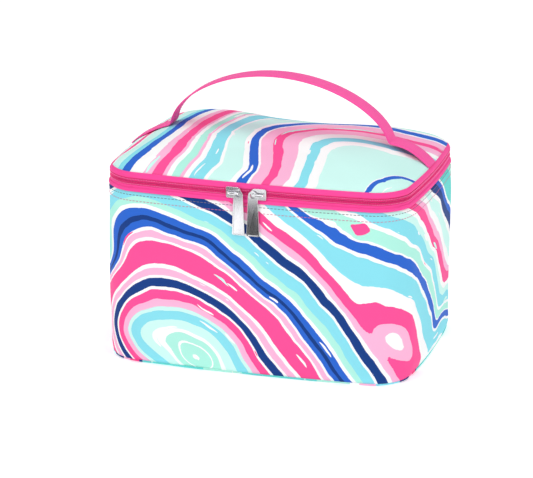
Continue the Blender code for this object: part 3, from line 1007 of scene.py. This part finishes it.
def build_handle(lid, material):
    """One length of webbing: tails on the lid, a crease at each side and the soft arch between."""
    path, distance = handle_path(lid)
    half_width = (STRAP_HIGH.y - STRAP_LOW.y) / 2
    thick = 0.0015
    profile = []
    for i in range(9):
        y = -1 + 2 * i / 8
        profile.append((y * half_width, thick / 2 * (1 - 0.75 * abs(y) ** 8)))
    section = profile + [(y, -h) for y, h in reversed(profile)]
    rings = []
    for (x, z), (out_x, out_z) in zip(path, side_normals(path)):
        rings.append([(x + out_x * h, y, z + out_z * h) for y, h in section])
    across = [y + half_width for y, _ in section]
    strap = loft("handle_webbing", rings, material, cloth_floats(distance, across))
    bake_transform(strap)
    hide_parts("handle_strap", "handle_tail_left", "handle_tail_right")


# ---- inside ----
LINING_DRAWN = 0.0004  # thickness of the linings' meshes


def build_wall_lining(material):
    """Lining of the walls, slightly loose, with soft folds."""
    stations, distance = even_stations(0, STATIONS, 0.0040, 0.0055)
    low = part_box("wall_lining")[0].z
    high = FOAM_HIGH.z
    heights = np.linspace(low, high, 36)
    points = []
    for station in stations[:-1]:
        for height in heights:
            share = (height - low) / (high - low)
            x, y = outline(station, LAYERS)
            fold = 0.5 + soft_noise(x, y, height * 0.35, 42.0)
            loose = 0.0018 * math.sin(math.pi * share) ** 0.7 * max(fold, 0)
            points.append((*outline(station, LAYERS + 0.0001 + loose), height))
    faces = [face[::-1] for face in grid_faces(len(stations) - 1, len(heights), wrap_rows=True)]
    floats = cloth_floats(distance[:-1], heights)
    lining = new_object("wall_lining_cloth", points, faces, material, floats)
    thicken(lining, LINING_DRAWN)
    settle(lining, "case", "lining", "wall_lining")


def flat_cloth(name, inset, height_of, thickness, material, upward):
    """A sheet over the whole outline, its height from a function of (x, y, share)."""
    count_x, count_y = 64, 44
    grid = square_grid(count_x, count_y, inset)
    points = np.array([(x, y, height_of(x, y, share)) for x, y, share in grid])
    faces = grid_faces(count_y + 1, count_x + 1)
    if not upward:
        faces = [face[::-1] for face in faces]
    sheet = new_object(name, points, faces, material, {"cloth_u": points[:, 0], "cloth_v": points[:, 1]})
    return thicken(sheet, thickness)


def build_base_lining(material):
    """Lining over the stiffener board, a little puffed."""
    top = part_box("base_lining")[1].z

    def height(x, y, share):
        return top + 0.0008 * (1 - share**6) * (0.6 + soft_noise(x, y, 0, 30.0))

    base = flat_cloth("base_lining_cloth", LAYERS, height, LINING_DRAWN, material, True)
    settle(base, "case", "lining", "base_lining")


def build_lid_inside(foam_sheet, lining_material):
    """Foam and lining of the lid, both following its dome."""
    inset = BAND_LEAN + CLOTH + 2 * SEAM

    def foam_height(x, y, share):
        return lid_height(x, y, share) - CLOTH - SEAM

    def lining_height(x, y, share):
        sag = 0.0012 * (1 - share**6) * (0.7 + soft_noise(x, y, 3.0, 28.0))
        return lid_height(x, y, share) - LAYERS - SEAM - sag

    foam = flat_cloth("lid_foam_sheet", inset, foam_height, FOAM_THICK - 0.0002, foam_sheet, True)
    settle(foam, "lid", "foam", "lid_foam")
    lining = flat_cloth("lid_lining_cloth", inset, lining_height, LINING_DRAWN, lining_material, False)
    settle(lining, "lid", "lining", "lid_lining")


def build_bindings(material, stitch_material):
    """The bias tape over the raw edges of the case's and the lid's seams, and its stitches."""
    stations, distances = even_stations(0, STATIONS, 0.0030)
    top = FOAM_HIGH.z
    case_section = [
        (0.0073, top - 0.0058), (0.0079, top - 0.0030), (0.0076, top - 0.0004), (0.0064, top + 0.0007),
        (0.0046, top + 0.0012), (0.0024, top + 0.0017), (0.0012, top + 0.0017), (0.0011, top + 0.0013),
        (0.0022, top + 0.0011), (0.0044, top + 0.0005), (0.0058, top + 0.0001), (0.0066, top - 0.0010),
        (0.0066, top - 0.0058),
    ]
    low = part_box("lid_seam_binding")[0].z
    lid_section = [
        (0.0049, low + 0.0012), (0.0055, low - 0.0002), (0.0068, low - 0.0005), (0.0082, low + 0.0004),
        (0.0088, low + 0.0022), (0.0092, low + 0.0042), (0.0086, low + 0.0043), (0.0080, low + 0.0022),
        (0.0068, low + 0.0010), (0.0058, low + 0.0014), (0.0055, low + 0.0036), (0.0050, low + 0.0042),
        (0.0050, low + 0.0055), (0.0034, low + 0.0056), (0.0034, low + 0.0050), (0.0045, low + 0.0047),
        (0.0049, low + 0.0036),
    ]
    for name, section, body, node in (
        ("case_binding", case_section, "case", "case_seam_binding"),
        ("lid_binding", lid_section, "lid", "lid_seam_binding"),
    ):
        binding = sweep(name, section, stations[:-1], distances[:-1], material, closed=True)
        settle(binding, body, "binding", node)
    places = []
    for station in even_stations(0, STATIONS, 0.0034)[0][:-1]:
        place, run, out = spot(station, 0.0079, top - 0.0036)
        places.append((place, run, -out))
    stitches("binding_stitches", places, stitch_material, "case")


def build_base(material):
    """Outer cloth under the base, drawn flat with its edge under the cord, into which the real cloth is
    turned up.
    """
    base = flat_cloth("base_cloth", 0.0027, lambda x, y, share: 0.0, CLOTH - 0.0001, material, False)
    print_on(base, lid_flow, mirror=-1)
    settle(base, "case", "printed_cloth", "base_panel")


# ---- sliders and pulls ----
SLIDER_CHANNEL = 0.0032  # clear space between a slider's plates
SLIDER_PLATE = 0.0011
PULL_THICK = 0.0012
HEAD_Z = -0.0010  # middle of a pull's round head, from its pivot


def rounded_plate(length, tall, corner_in, corner_out, steps=5):
    """Outline of a slider's plate in (x, z), its two ends rounded differently."""
    points = []
    corners = (
        (length / 2, tall / 2, 0, corner_in),
        (-length / 2, tall / 2, 90, corner_out),
        (-length / 2, -tall / 2, 180, corner_out),
        (length / 2, -tall / 2, 270, corner_in),
    )
    for x, z, start, radius in corners:
        middle = x - math.copysign(radius, x), z - math.copysign(radius, z)
        points += arc(*middle, radius, start, 90, steps)
    return points


def prism(bm, outline_xz, front, back):
    """Add an upright plate with this outline between two y values."""
    near = [bm.verts.new((x, front, z)) for x, z in outline_xz]
    far = [bm.verts.new((x, back, z)) for x, z in outline_xz]
    bm.faces.new(near)
    bm.faces.new(far[::-1])
    count = len(near)
    for i in range(count):
        j = (i + 1) % count
        bm.faces.new((near[i], far[i], far[j], near[j]))


def even_faces(obj):
    """Shade flat faces flat, and keep smooth shading for the rounded edges between them."""
    obj.data.shade_smooth()
    obj.data.set_sharp_from_angle(angle=math.radians(35))
    set_values(obj.modifiers.new("even", "WEIGHTED_NORMAL"), weight=100, keep_sharp=True)
    apply_modifiers(obj)


def bmesh_object(name, bm):
    """An object from a bmesh, its faces turned outwards."""
    bmesh.ops.recalc_face_normals(bm, faces=bm.faces)
    mesh = bpy.data.meshes.new(name)
    bm.to_mesh(mesh)
    bm.free()
    return link_object(name, mesh)


def metal_object(name, bm, material, world, bevel):
    """Finish a metal piece: rounded edges, even shading, placed by its frame's matrix."""
    obj = bmesh_object(name, bm)
    obj.data.materials.append(material)
    rounding = obj.modifiers.new("rounded", "BEVEL")
    set_values(rounding, width=bevel, segments=3, limit_method="ANGLE", angle_limit=math.radians(40))
    rounding.harden_normals = False
    bpy.context.view_layer.update()
    apply_modifiers(obj)
    even_faces(obj)
    obj.matrix_world = world
    bpy.context.view_layer.update()
    return obj


def slider_matrix(side):
    """Frame of a slider: its middle, with X along its travel and -Y to the front."""
    low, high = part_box(f"slider_{side}_body")
    axis = Vector(JOINTS[f"slider_{side}_travel"]["axis"])
    run = axis if side == "right" else -axis
    turn = math.atan2(run.y, run.x)
    return Matrix.Translation((low + high) / 2) @ Matrix.Rotation(turn, 4, "Z")


def build_slider_shell(side, material):
    """Slider body: two shaped plates, the post between them and side flanges."""
    inward = 1 if side == "left" else -1
    length, tall, half_gap = 0.0136, 0.0098, SLIDER_CHANNEL / 2
    rooted = half_gap + 0.0002  # the post and the flanges reach a little into the plates
    bm = bmesh.new()
    corner_in, corner_out = (0.0036, 0.0014) if inward > 0 else (0.0014, 0.0036)
    shape = rounded_plate(length, tall, corner_in, corner_out)
    prism(bm, shape, -half_gap - SLIDER_PLATE, -half_gap)
    prism(bm, shape, half_gap, half_gap + SLIDER_PLATE)
    post = rounded_plate(0.0044, 0.0012, 0.0005, 0.0005, 3)
    prism(bm, [(x + inward * 0.0040, z) for x, z in post], -rooted, rooted)
    lip = 0.0007
    flange = rounded_plate(length * 0.62, 0.0008, 0.0003, 0.0003, 2)
    for edge in (-1, 1):
        middle = edge * (tall / 2 - 0.0004)
        shifted = [(x - inward * 0.0012, z + middle) for x, z in flange]
        prism(bm, shifted, -rooted, -half_gap + lip)
        if edge < 0:
            prism(bm, shifted, half_gap - lip, rooted)
    body = metal_object(f"slider_{side}_shell", bm, material, slider_matrix(side), 0.00028)
    settle(body, f"slider_{side}", "chromed_metal", f"slider_{side}_body")


def build_slider_crown(side, material):
    """The bridge arched over a slider's front plate, which traps the pull."""
    bm = bmesh.new()
    foot = -SLIDER_CHANNEL / 2 - SLIDER_PLATE
    reach, height, steps = 0.0046, 0.0026, 12
    arch = []
    for step in range(steps + 1):
        angle = math.pi * step / steps
        bulge = math.copysign(abs(math.cos(angle)) ** 0.35, math.cos(angle))
        rise = math.sin(angle) ** 0.45 if 0 < step < steps else 0.0
        arch.append((-reach * bulge, foot - height * rise))
    half_z, half_t = 0.0010, 0.00065
    bar = ((-half_z, -half_t), (half_z, -half_t), (half_z, half_t), (-half_z, half_t))
    corners = []
    for (x, y), (out_x, out_y) in zip(arch, side_normals(arch)):
        corners += [bm.verts.new((x + out_x * t, y + out_y * t, z)) for z, t in bar]
    for face in tube_faces(len(arch), len(bar)):
        bm.faces.new([corners[k] for k in face])
    crown = metal_object(f"slider_{side}_arch", bm, material, slider_matrix(side), 0.00030)
    settle(crown, f"slider_{side}", "chromed_metal", f"slider_{side}_crown")


def pull_outline(inset=0.0):
    """The pull's outline in (x, z) about its pivot: a round head that runs into a widening blade."""
    end_half = 0.0057 - inset
    bottom = -(0.0372 - inset)
    corner = 0.0012
    points = arc(0, HEAD_Z, 0.0042 - inset, 0, 180, 16)
    points += arc(-end_half + corner, bottom + corner, corner, 180, 90, 4)
    points += arc(end_half - corner, bottom + corner, corner, 270, 90, 4)
    return points


def build_pull(side, material):
    """A flat pull with a round hole in its head and a plain panel sunk inside a raised rim."""
    pivot = Vector(JOINTS[f"pull_{side}_swing"]["pos_m"])
    world = Matrix.Translation(pivot) @ Matrix.Rotation(slider_matrix(side).to_euler().z, 4, "Z")
    bm = bmesh.new()
    prism(bm, pull_outline(), -PULL_THICK / 2, PULL_THICK / 2)
    pull = metal_object(f"pull_{side}_plate", bm, material, world, 0.00022)
    hole = bmesh.new()
    bmesh.ops.create_cone(
        hole, cap_ends=True, segments=32, radius1=0.0024, radius2=0.0024, depth=0.006,
        matrix=Matrix.Translation((0, 0, HEAD_Z)) @ Matrix.Rotation(math.pi / 2, 4, "X"),
    )
    panel = bmesh.new()
    panel_top, panel_half, sunk = -0.0065, 0.0031, 0.00022
    shape = [(x, z) for x, z in pull_outline(0.0011) if z < panel_top]
    shape += [(panel_half, panel_top), (-panel_half, panel_top)]
    prism(panel, shape, -PULL_THICK, sunk - PULL_THICK / 2)
    cutters = []
    for key, cut_shape in (("hole", hole), ("panel", panel)):
        cutter = bmesh_object(key, cut_shape)
        cutter.matrix_world = world
        cut = pull.modifiers.new(key, "BOOLEAN")
        set_values(cut, operation="DIFFERENCE", solver="EXACT", object=cutter)
        cutters.append(cutter)
    bpy.context.view_layer.update()
    apply_modifiers(pull)
    for cutter in cutters:
        bpy.data.objects.remove(cutter)
    even_faces(pull)
    settle(pull, f"pull_{side}", "chromed_metal", f"pull_{side}")


# ---- stage ----
def aim(obj, place, target):
    """Place a lamp, a card or the camera and turn it to a target."""
    obj.location = place
    obj.rotation_euler = (Vector(target) - Vector(place)).to_track_quat("-Z", "Y").to_euler()


def area_light(name, place, target, size, power):
    """A soft round lamp."""
    data = set_values(bpy.data.lights.new(name, "AREA"), energy=power, shape="DISK", size=size)
    aim(link_object(name, data), place, target)


def flat_card(name, low, high, height, material):
    """A level rectangle between two (x, y) corners."""
    corners = [(x, y, height) for x, y in (low, (high[0], low[1]), high, (low[0], high[1]))]
    return new_object(name, corners, [(0, 1, 2, 3)], material)


def build_floor():
    """Plain pale paper. The lamps stand near the case, so far off the paper glows by itself."""
    nodes = Nodes("floor_paper")
    nodes.finish(rgb(250, 250, 250), 0.9)
    distance = nodes.add("ShaderNodeVectorMath", operation="LENGTH")
    nodes.link(nodes.add("ShaderNodeNewGeometry").outputs["Position"], distance.inputs[0])
    glow = nodes.add("ShaderNodeMapRange")
    reach = {"From Min": 1.3, "From Max": 3.0, "To Min": 0.36, "To Max": 0.75}
    nodes.link(distance.outputs["Value"], glow.inputs["Value"])
    nodes.fill(glow, **reach)
    nodes.fill(nodes.shader, **{"Emission Color": (1, 1, 1, 1), "Emission Strength": glow.outputs["Result"]})
    flat_card("floor", (-6, -6), (6, 6), -0.0002, nodes.material)


def build_cards():
    """Dark cards that only mirror in the metal: on the floor before the pulls, and upright at both sides."""
    nodes = Nodes("dark_card")
    nodes.finish(rgb(10, 10, 13), 0.9)
    cards = [
        flat_card("card_for_right_pull", (-0.140, -0.612), (0.16, -0.40), 0.001, nodes.material),
        flat_card("card_for_left_slider", (-0.34, -0.92), (-0.190, -0.578), 0.001, nodes.material),
    ]
    half = 0.45
    for name, x, y in (("card_left", -0.95, -0.35), ("card_right", 0.95, -0.45)):
        card = flat_card(name, (-half, -half), (half, half), 0, nodes.material)
        aim(card, (x, y, 0.30), (0, 0, 0.15))
        cards.append(card)
    for card in cards:
        set_values(card, visible_camera=False, visible_diffuse=False, visible_shadow=False)


def build_light():
    """Soft lamps, and a world that is white where the camera sees it and softer where it lights the case."""
    world = bpy.data.worlds.new("studio")
    world.use_nodes = True
    tree = world.node_tree
    backdrop = tree.nodes["Background"]
    backdrop.inputs["Color"].default_value = (1, 1, 1, 1)
    seen = tree.nodes.new("ShaderNodeLightPath").outputs["Is Camera Ray"]
    strength = set_values(tree.nodes.new("ShaderNodeMath"), operation="MULTIPLY_ADD")
    tree.links.new(seen, strength.inputs[0])
    strength.inputs[1].default_value = 0.52
    strength.inputs[2].default_value = 0.48
    tree.links.new(strength.outputs[0], backdrop.inputs["Strength"])
    bpy.context.scene.world = world
    middle = (0, 0, 0.1)
    area_light("key", (-1.0, -1.6, 1.7), middle, 1.6, 15.8)
    area_light("fill", (1.8, -1.2, 0.9), middle, 1.8, 9.6)
    area_light("top", (0.3, 0.3, 2.2), middle, 1.8, 15)


def build_camera():
    """The camera, to the right of the front and above."""
    azimuth, elevation, distance = math.radians(16.91), math.radians(18.0), 2.616
    target = Vector((0, 0, 0.085))
    level = Vector((math.sin(azimuth), -math.cos(azimuth), 0))
    back = level * math.cos(elevation) + Vector((0, 0, math.sin(elevation)))
    data = bpy.data.cameras.new("camera")
    set_values(data, sensor_width=36.0, lens=198.6, shift_x=-0.0290, shift_y=0.0166)
    camera = link_object("camera", data)
    aim(camera, target + back * distance, target)
    bpy.context.scene.camera = camera
    bpy.context.scene.view_settings.view_transform = "Standard"


# ---- assembly ----
def paint_hidden_nodes(foam):
    """Materials of the CAD nodes that stay: foam and board, between the cloth layers."""
    board = board_material("stiffener_board")
    for node, material in (("wall_foam", foam), ("base_board", board)):
        obj = frame["nodes"][node]
        obj.data.materials.clear()
        obj.data.materials.append(material)


def main():
    """Build every piece, then the stage."""
    wall_print = printed_cloth("wall_print", WALL_PRINT, 3.7)
    lid_print = printed_cloth("lid_print", LID_PRINT, 4.4, drift=0.005, fewer=0.03)
    tape = ribbed_cloth("zip_tape_twill", BAND_PINK, 0.0011, 0.00012, twill=True)
    webbing = ribbed_cloth("handle_webbing_weave", WEBBING_PINK, 0.0016, 0.00018, roughness=0.6)
    wall = build_wall_cloth(wall_print)
    lid = build_lid_cloth(lid_print)
    build_base(lid_print)
    build_zip_band(tape)
    build_coils(coil_nylon("coil_nylon", COIL_PINK), thread("coil_thread", COIL_THREAD))
    build_hinge_band(tape)
    build_piping(printed_cloth("cord_print", CORD_PRINT, 5.3))
    build_topstitching(wall, thread("thread_grey", THREAD_GREY), thread("thread_pink", THREAD_PINK))
    build_handle(lid, webbing)
    foam = foam_material("foam")
    lining = plain_cloth("lining_cloth", LINING_GREY, 0.5, creases=0.006)
    build_wall_lining(lining)
    build_base_lining(lining)
    build_lid_inside(foam, lining)
    build_bindings(plain_cloth("binding_tape", BAND_PINK), thread("binding_thread", WEBBING_PINK))
    chrome = chromed_metal("chrome_plate")
    for side in ("left", "right"):
        build_slider_shell(side, chrome)
        build_slider_crown(side, chrome)
        build_pull(side, chrome)
    paint_hidden_nodes(foam)
    build_floor()
    build_cards()
    build_light()
    build_camera()


main()
